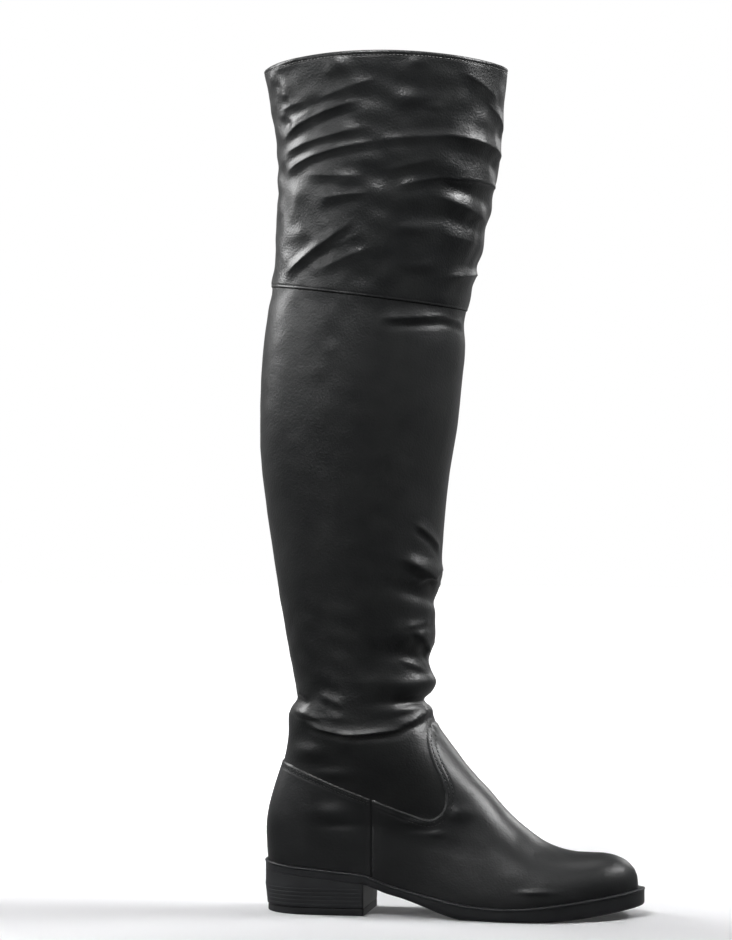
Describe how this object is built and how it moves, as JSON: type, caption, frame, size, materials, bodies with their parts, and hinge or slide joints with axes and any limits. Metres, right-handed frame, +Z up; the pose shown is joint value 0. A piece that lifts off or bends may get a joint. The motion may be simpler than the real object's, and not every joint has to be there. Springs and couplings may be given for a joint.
{
  "type": "over-the-knee boot",
  "caption": "Black leather over-the-knee riding-style boot for the right foot, with a low stacked heel, panelled foot and inner zip.",
  "frame": {"origin": "middle of the heel's ground face", "axes": "+Z up the shaft, +X towards the toe, -Y on the outer side of the right foot"},
  "size_m": [0.2694, 0.1352, 0.593],
  "materials": {
    "leather": "semi-gloss, fine grain",
    "leather_panel": "semi-gloss, fine grain",
    "leather_cuff": "semi-gloss, creased grain",
    "sole_rubber": "satin",
    "heel_stack": "satin, grooved",
    "top_lift_rubber": "matte",
    "insole_lining": "matte",
    "zip_tape": "matte woven",
    "zip_coil": "satin",
    "zip_metal": "dark nickel"
  },
  "bodies": {
    "boot": {"upper": "leather", "vamp": "leather_panel", "counter": "leather_panel", "cuff": "leather_cuff", "outsole": "sole_rubber", "heel": "heel_stack", "top_lift": "top_lift_rubber", "insole": "insole_lining", "zip_tape": "zip_tape", "zip_coil": "zip_coil", "zip_slider": "zip_metal"},
    "pull_tab": {"zip_pull": "zip_metal"}
  },
  "joints": [
    {"name": "pull_tab_hinge", "type": "hinge", "parent": "boot", "child": "pull_tab", "pos_m": [0.02978, 0.06198, 0.3541], "axis": [1, 0, 0], "range_deg": [0, 150]}
  ]
}
